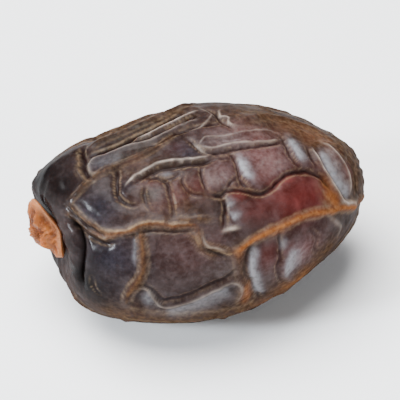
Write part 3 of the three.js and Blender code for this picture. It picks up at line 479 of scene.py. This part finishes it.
def wrinkled(d, folds):
    """The skin's points with its folds, and for each tint how strong it is there."""
    points, normals = body_point(d), outward(d)
    sway = [grain(points, WANDER_SCALE, seed, 2) for seed in WANDER_SEEDS]
    wandered = points + WANDER * np.stack(sway, -1)
    ridges, creases = np.zeros(len(d)), np.zeros(len(d))
    tints = {name: np.zeros(len(d)) for name in TINTS}
    for rise, left, right, tint, strength, tint_width, path in folds:
        chosen, distance, _, side, from_end = near_fold(path, wandered, normals)
        share = FOLD_END + (1 - FOLD_END) * smooth(from_end / FOLD_TAPER)
        spread = left + (right - left) * (side + 1) / 2
        rounded = np.hypot(distance, CREST_RADIUS) - CREST_RADIUS
        height = abs(rise) * share * np.exp(-rounded / spread) * (1 - smooth(distance / FOLD_REACH))
        (ridges if rise > 0 else creases)[chosen] += height**3
        if tint not in TINTS:
            continue
        breadth = tint_width * (spread if rise == 0 else 1)
        tapered = smooth(TINT_END + from_end / TINT_TAPER)
        faded = strength * tapered * np.exp(-((distance / breadth) ** 2))
        tints[tint][chosen] = np.maximum(tints[tint][chosen], faded)
        if tint in EDGED:
            off_rim = (distance - RIM_OFFSET * tint_width) / (RIM_WIDTH * tint_width)
            rim = EDGED[tint] * strength * np.exp(-(off_rim**2))
            tints["rim"][chosen] = np.maximum(tints["rim"][chosen], rim * tapered)
    return points + normals * (np.cbrt(ridges) - np.cbrt(creases))[:, None], tints


def cube_sphere(n):
    """Directions spread evenly over a sphere, from grids on a cube's faces, and their quads."""
    a, b = np.meshgrid(np.arange(n + 1), np.arange(n + 1), indexing="ij")
    keys, quads = [], []
    for axis in range(3):
        for side in (0, n):
            base = sum(len(k) for k in keys)
            keys.append(np.insert(np.stack([a, b], -1).reshape(-1, 2), axis, side, axis=1))
            at = base + np.arange((n + 1) ** 2).reshape(n + 1, n + 1)
            ring = np.stack([at[:-1, :-1], at[1:, :-1], at[1:, 1:], at[:-1, 1:]], -1).reshape(-1, 4)
            quads.append(ring if (side == n) != (axis == 1) else ring[:, ::-1])
    places, which = np.unique(np.vstack(keys), axis=0, return_inverse=True)
    return normalised(np.tan((2 * places / n - 1) * np.pi / 4)), which.reshape(-1)[np.vstack(quads)]


def placed(points):
    """Points moved to where the date lies, with its underside pressed flat at height 0."""
    moved = points + STAND
    moved[:, 2] = np.maximum(moved[:, 2], 0)
    return moved


def piece(name, points, faces, replaced, masks):
    """A smooth mesh that stands for a node of the frame, with a mask's values at its points."""
    mesh = bpy.data.meshes.new(name)
    mesh.from_pydata((placed(points) * MM).tolist(), [], [list(map(int, f)) for f in faces])
    mesh.shade_smooth()
    for mask, values in masks.items():
        attribute = mesh.attributes.new(mask, "FLOAT", "POINT")
        attribute.data.foreach_set("value", values.astype(np.float32))
    made = bpy.data.objects.new(name, mesh)
    bpy.context.scene.collection.objects.link(made)
    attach(made, "root")
    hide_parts(replaced)
    return made


# The fruit: the solids' own folds on a finer mesh, with shallow puckers between them, pleats at
# both ends and the scar at the tip.
directions, quads = cube_sphere(GRID)
directions = gathered(normalised(directions / np.sqrt(HALF)), FOLDS)
skin_points, tints = wrinkled(directions, FOLDS)
along = np.degrees(np.arccos(np.clip(-directions[:, 0], -1, 1)))
around = np.degrees(np.arctan2(-directions[:, 1], directions[:, 2]))
pucker = layered(skin_points, PUCKERS)
stem_pleats = pleats(skin_points, along, around, *STEM_PLEATS)
tip_pleats = pleats(skin_points, along, around, *TIP_PLEATS)
scar = SCAR_HEIGHT * np.exp(-(((180 - along) / SCAR_FADE) ** 2))
tip_scar = scar - HOLLOW_DEPTH * np.exp(-(((180 - along) / HOLLOW_FADE) ** 2))
relief = pucker + stem_pleats + tip_pleats + tip_scar
skin_points = skin_points + outward(directions) * relief[:, None]

masks = dict(tints)
for name, patches in ZONES.items():
    for a, r, fade, strength in patches:
        patch = strength * np.exp(-((degrees_from(directions, a, r) / fade) ** 2))
        masks[name] = np.maximum(masks.get(name, 0), patch)
fruit = piece("fruit_skin", skin_points, quads, "fruit", masks)

# The calyx's section from the middle of its underside round the rim to the scar of the stalk:
# distance from its axis, height over the skin, and how much of the lobes and of the flare it takes.
CALYX_SECTION = np.array([
    (0, 0, 0, 0), (1, 0, 0, 0), (2, 0.05, 0.2, 0.1), (2.8, 0.08, 0.6, 0.4),
    (CALYX_RADIUS - 0.2, 0.12, 0.9, 0.8), (CALYX_RADIUS, 0.3, 1, 1),
    (CALYX_RADIUS - 0.15, 0.55, 1, 1),
    (3.1, 0.8, 0.9, 0.8), (2.8, 1.2, 0.8, 0.6), (2.45, 1.75, 0.65, 0.4), (2.05, 2.3, 0.5, 0.2),
    (1.6, 2.75, 0.3, 0), (1.15, 2.9, 0.1, 0), (0.7, 2.65, 0, 0), (0, 2.5, 0, 0),
])
CALYX_STEPS, CALYX_ROUND = 10, 240
# The height over the skin from which the calyx is crumpled, over how much it comes in, and the
# width of its worn rim.
TOP_FROM, TOP_OVER = 0.3, 0.8
WORN_RIM = 0.35

section = smooth_rows(CALYX_SECTION, CALYX_STEPS)[1:-1]
rings = len(section)
turn = np.tile(np.arange(CALYX_ROUND) * 360 / CALYX_ROUND, rings)
reach, height, lobed, flared = (np.repeat(section[:, i], CALYX_ROUND) for i in range(4))
wave = np.cos(np.radians(CALYX_LOBES * (turn - CALYX_LOBE_TURN)))
reach = np.maximum(reach + CALYX_LOBE * lobed * wave, 0.02)
height = height + CALYX_FLARE * flared * (0.5 + 0.5 * wave)
across = np.degrees(np.arcsin(np.clip(2 * reach / (WIDTH * (1 + TAPER)), 0, 1)))
under, _ = wrinkled(unit(across, turn), FOLDS)
calyx_points = under.copy()
calyx_points[:, 0] -= height + CALYX_CLEARANCE
top = smooth((height - TOP_FROM) / TOP_OVER)
crumple = layered(calyx_points, CRUMPLES)
waver = VEIN_WAVER * grain(calyx_points, VEIN_WAVER_SIZE, VEIN_SEED)
veins = VEIN_HEIGHT * np.cos(np.radians(turn * VEINS) + waver)
calyx_points[:, 0] -= top * (crumple + veins)
calyx_points[:, 1:] += (top * crumple * CRUMPLE_SIDEWAYS)[:, None] * unit(90, turn)[:, 1:]
at = np.arange(rings * CALYX_ROUND).reshape(rings, CALYX_ROUND)
beside = np.roll(at, -1, axis=1)
calyx_faces = np.stack([at[:-1], at[1:], beside[1:], beside[:-1]], -1).reshape(-1, 4).tolist()
ends = len(calyx_points)
middles = [calyx_points[at[0]].mean(0), calyx_points[at[-1]].mean(0)]
calyx_points = np.vstack([calyx_points, *middles])
calyx_faces += [[ends, p, q] for p, q in zip(at[0], beside[0])]
calyx_faces += [[ends + 1, q, p] for p, q in zip(at[-1], beside[-1])]
edge = np.exp(-(((section[:, 0] - CALYX_RADIUS) / WORN_RIM) ** 2))
calyx_masks = {
    "edge": np.append(np.repeat(edge, CALYX_ROUND), [0, 0]),
    "hollow_shade": np.append(np.clip(0.5 - 2.5 * crumple, 0, 1), [1, 1]),
}
calyx = piece("calyx_cap", calyx_points, calyx_faces, "calyx", calyx_masks)


def wired(tree, node, sockets):
    """A shader node with its sockets filled or linked, each by its name or its number."""
    for socket, value in sockets.items():
        target = node.inputs[socket]
        if isinstance(value, bpy.types.NodeSocket):
            tree.links.new(value, target)
        else:
            target.default_value = value
    return node


def node_of(tree, kind, sockets, **settings):
    """A new shader node with its settings made and its sockets filled or linked."""
    made = tree.nodes.new("ShaderNode" + kind)
    for key, value in settings.items():
        setattr(made, key, value)
    return wired(tree, made, sockets)


def mask_of(tree, name):
    return node_of(tree, "Attribute", {}, attribute_name=name).outputs["Fac"]


def noise_of(tree, coordinates, scale, detail, distortion=0.0, stretch=(1, 1, 1)):
    """Noise with features of about 1 / scale millimetres."""
    sizes = [s * scale / MM for s in stretch]
    mapped = node_of(tree, "Mapping", {"Vector": coordinates, "Scale": sizes}).outputs[0]
    sockets = {"Vector": mapped, "Scale": 1.0, "Detail": detail, "Distortion": distortion}
    return node_of(tree, "TexNoise", sockets).outputs["Fac"]


def math_of(tree, operation, a, b):
    return node_of(tree, "Math", {0: a, 1: b}, operation=operation).outputs[0]


def ramp_of(tree, value, low, high, out_low=0.0, out_high=1.0):
    """A value taken from one range to another, and held at its ends."""
    sockets = {"From Min": low, "From Max": high, "To Min": out_low, "To Max": out_high}
    return node_of(tree, "MapRange", {"Value": value, **sockets}).outputs[0]


def mixed(tree, share, a, b):
    """Colour a turning into colour b by share."""
    a, b = (c if isinstance(c, bpy.types.NodeSocket) else (*c, 1) for c in (a, b))
    return node_of(tree, "Mix", {0: share, 6: a, 7: b}, data_type="RGBA").outputs[2]


def between(tree, pattern, low, high, darker, paler):
    """A colour that goes from darker to paler where the noise goes from low to high."""
    return mixed(tree, ramp_of(tree, pattern, low, high), darker, paler)


def material(name):
    """A new material, its node tree and its main shader."""
    made = bpy.data.materials.new(name)
    made.use_nodes = True
    return made, made.node_tree, made.node_tree.nodes["Principled BSDF"]


# The skin: a dusky, dusty base, then each layer's colour laid over it where its mask is; some
# layers are painted shade and painted highlights.
skin, tree, shader = material("date_skin")
where = node_of(tree, "TexCoord", {}).outputs["Object"]
mottle = noise_of(tree, where, 0.35, 5.0, distortion=0.6)
speckle = noise_of(tree, where, 1.8, 6.0)
blotch = noise_of(tree, where, 0.8, 5.0, distortion=0.3)
fine = noise_of(tree, where, 6.0, 3.0)
base = between(tree, mottle, 0.35, 0.65, (0.0125, 0.0072, 0.0061), (0.0305, 0.0205, 0.0195))
base = mixed(tree, ramp_of(tree, speckle, 0.48, 0.75, 0.0, 0.4), base, (0.052, 0.036, 0.034))
base = mixed(tree, ramp_of(tree, blotch, 0.50, 0.66, 0.0, 0.4), base, (0.054, 0.040, 0.039))
base = mixed(tree, ramp_of(tree, blotch, 0.46, 0.36, 0.0, 0.5), base, (0.0160, 0.0078, 0.0058))
mauve = between(tree, speckle, 0.3, 0.7, (0.058, 0.0205, 0.0185), (0.122, 0.0700, 0.0680))
slate = between(tree, speckle, 0.3, 0.7, (0.0078, 0.0066, 0.0088), (0.0230, 0.0205, 0.0275))
red = between(tree, mottle, 0.3, 0.7, (0.066, 0.0066, 0.0052), (0.105, 0.0280, 0.0260))
tan = between(tree, speckle, 0.3, 0.7, (0.029, 0.0135, 0.0053), (0.078, 0.0430, 0.0205))
umber = between(tree, speckle, 0.3, 0.7, (0.0120, 0.0080, 0.0062), (0.0280, 0.0215, 0.0175))
# grey patches, partly a painted sheen
ash_and_sheen = between(tree, speckle, 0.3, 0.7, (0.080, 0.058, 0.055), (0.150, 0.122, 0.118))
amber = between(tree, speckle, 0.35, 0.7, (0.135, 0.0430, 0.0110), (0.215, 0.0850, 0.0300))

# Each layer: its mask, its colour, the noise that thins it and how much of it is left at least.
LAYERS = [
    ("mauve", mauve, mottle, 0.6),
    ("slate", slate, mottle, 0.6),
    ("red", red, mottle, 0.6),
    ("tan", tan, speckle, 0.4),
    ("umber", umber, mottle, 0.6),
    ("ash_and_sheen", ash_and_sheen, blotch, 0.6),
    ("black", (0.0018, 0.0016, 0.0018), mottle, 0.8),
    # painted highlight on the rims beside the folds
    ("rim", (0.165, 0.112, 0.066), speckle, 0.25),
    ("amber", amber, mottle, 0.7),
    ("sheen", (0.185, 0.184, 0.197), speckle, 0.55),
    # painted shade along the creases
    ("crease_shade", (0.0060, 0.0018, 0.0012), blotch, 0.6),
    # painted highlight along the crests
    ("crest_highlight", (0.300, 0.245, 0.205), blotch, 0.45),
    # painted shade in the deep crease at the stem end
    ("gap", (0.0012, 0.0008, 0.0007), mottle, 1.0),
]
for name, colour, pattern, least in LAYERS:
    share = ramp_of(tree, pattern, 0.3, 0.6, least, 1.0)
    base = mixed(tree, math_of(tree, "MULTIPLY", mask_of(tree, name), share), base, colour)

# Tan skin is rough and hardly shines, black skin is the glossiest, and the gap at the stem end,
# painted shade, doesn't shine at all.
tan_mask, black_mask, gap_shade_mask = (mask_of(tree, name) for name in ("tan", "black", "gap"))
gloss = ramp_of(tree, speckle, 0.3, 0.7, 0.26, 0.40)
gloss = math_of(tree, "ADD", gloss, math_of(tree, "MULTIPLY", tan_mask, 0.30))
gloss = math_of(tree, "SUBTRACT", gloss, math_of(tree, "MULTIPLY", black_mask, 0.08))
coat = ramp_of(tree, tan_mask, 0.0, 0.8, 0.09, 0.03)
coat = math_of(tree, "MULTIPLY", coat, ramp_of(tree, mottle, 0.3, 0.7, 0.6, 1.3))
coat = math_of(tree, "ADD", coat, math_of(tree, "MULTIPLY", black_mask, 0.03))
coat = math_of(tree, "MULTIPLY", coat, ramp_of(tree, gap_shade_mask, 0.0, 0.8, 1.0, 0.0))

creping = noise_of(tree, where, 1.3, 4.0, distortion=1.2, stretch=(0.45, 1.0, 1.0))
pores = node_of(tree, "Bump", {"Strength": 0.35, "Distance": 0.05 * MM, "Height": fine}).outputs[0]
sockets = {"Strength": 0.5, "Distance": 0.16 * MM, "Height": creping, "Normal": pores}
wired(tree, shader, {
    "Base Color": base,
    "Roughness": gloss,
    "Normal": node_of(tree, "Bump", sockets).outputs[0],
    "IOR": 1.42,
    "Specular IOR Level": 0.0,
    "Coat Weight": coat,
    "Coat Roughness": 0.2,
    "Subsurface Weight": 0.12,
    "Subsurface Radius": (1.0, 0.35, 0.2),
    "Subsurface Scale": 0.9 * MM,
})
fruit.data.materials.append(skin)

# The calyx: dry and fibrous, with painted shade where the crumple sinks, and paler round its rim.
dry, tree, shader = material("dry_calyx")
where = node_of(tree, "TexCoord", {}).outputs["Object"]
mottle = noise_of(tree, where, 0.9, 5.0)
fibre = noise_of(tree, where, 5.0, 4.0)
hollow_shade = math_of(tree, "MULTIPLY", mask_of(tree, "hollow_shade"), 0.8)
worn = math_of(tree, "MULTIPLY", mask_of(tree, "edge"), ramp_of(tree, fibre, 0.3, 0.7, 0.3, 0.8))
base = between(tree, mottle, 0.3, 0.7, (0.155, 0.0330, 0.0050), (0.300, 0.0950, 0.0220))
# painted shade in the crumple's hollows
base = mixed(tree, hollow_shade, base, (0.026, 0.0046, 0.0012))
base = mixed(tree, worn, base, (0.300, 0.130, 0.060))
bump = node_of(tree, "Bump", {"Strength": 0.6, "Distance": 0.08 * MM, "Height": fibre})
wired(tree, shader, {
    "Base Color": base,
    "Roughness": ramp_of(tree, fibre, 0.3, 0.7, 0.38, 0.6),
    "Normal": bump.outputs[0],
    "Specular IOR Level": 0.12,
    "Subsurface Weight": 0.2,
    "Subsurface Radius": (1.0, 0.4, 0.2),
    "Subsurface Scale": 0.6 * MM,
})
calyx.data.materials.append(dry)

# The floor, the soft light round the date and three lamps.
bpy.ops.mesh.primitive_plane_add(size=6.0, location=(0, 0, 0))
floor = bpy.context.object
floor.name = "floor"
paper, tree, shader = material("pale_floor")
wired(tree, shader, {"Base Color": (0.92, 0.92, 0.92, 1), "Roughness": 0.7})
floor.data.materials.append(paper)

world = bpy.data.worlds.new("studio")
bpy.context.scene.world = world
world.use_nodes = True
background = world.node_tree.nodes["Background"]
wired(world.node_tree, background, {"Color": (0.86, 0.91, 1.0, 1), "Strength": 0.12})

# The point that the lamps face, in metres.
MIDDLE = Vector((0.0, 0.0, 0.011))


def softbox(name, direction, distance, size, power, colour):
    """A square soft light that faces the date from a direction and a distance."""
    data = bpy.data.lights.new(name, "AREA")
    data.size, data.energy, data.color = size, power, colour
    lamp = bpy.data.objects.new(name, data)
    bpy.context.scene.collection.objects.link(lamp)
    away = Vector(direction).normalized()
    lamp.location = MIDDLE + away * distance
    lamp.rotation_mode = "QUATERNION"
    lamp.rotation_quaternion = away.to_track_quat("Z", "Y")


softbox("key", (-0.93, -0.15, 0.42), 0.6, 0.10, 6.0, (0.86, 0.93, 1.0))
softbox("top", (-0.22, 0.15, 0.93), 0.8, 0.75, 28.0, (0.98, 0.99, 1.0))
softbox("front", (0.60, -0.80, 0.35), 0.8, 0.40, 3.2, (0.98, 0.99, 1.0))

# The camera: the photograph's viewing angle in degrees, the place it looks at and its distance
# from there in metres, and its focal length and sensor width in millimetres.
AZIMUTH, ELEVATION = math.radians(-18), math.radians(40)
TARGET = Vector((0.0013, 0.0020, 0.0114))
DISTANCE = 0.350
FOCAL_LENGTH, SENSOR_WIDTH = 262, 36

level = math.cos(ELEVATION)
back = Vector((math.sin(AZIMUTH) * level, -math.cos(AZIMUTH) * level, math.sin(ELEVATION)))
lens = bpy.data.cameras.new("camera")
lens.lens, lens.sensor_width = FOCAL_LENGTH, SENSOR_WIDTH
lens.clip_start, lens.clip_end = 0.01, 10
camera = bpy.data.objects.new("camera", lens)
bpy.context.scene.collection.objects.link(camera)
camera.location = TARGET + back * DISTANCE
camera.rotation_mode = "QUATERNION"
camera.rotation_quaternion = (-back).to_track_quat("-Z", "Y")
bpy.context.scene.camera = camera
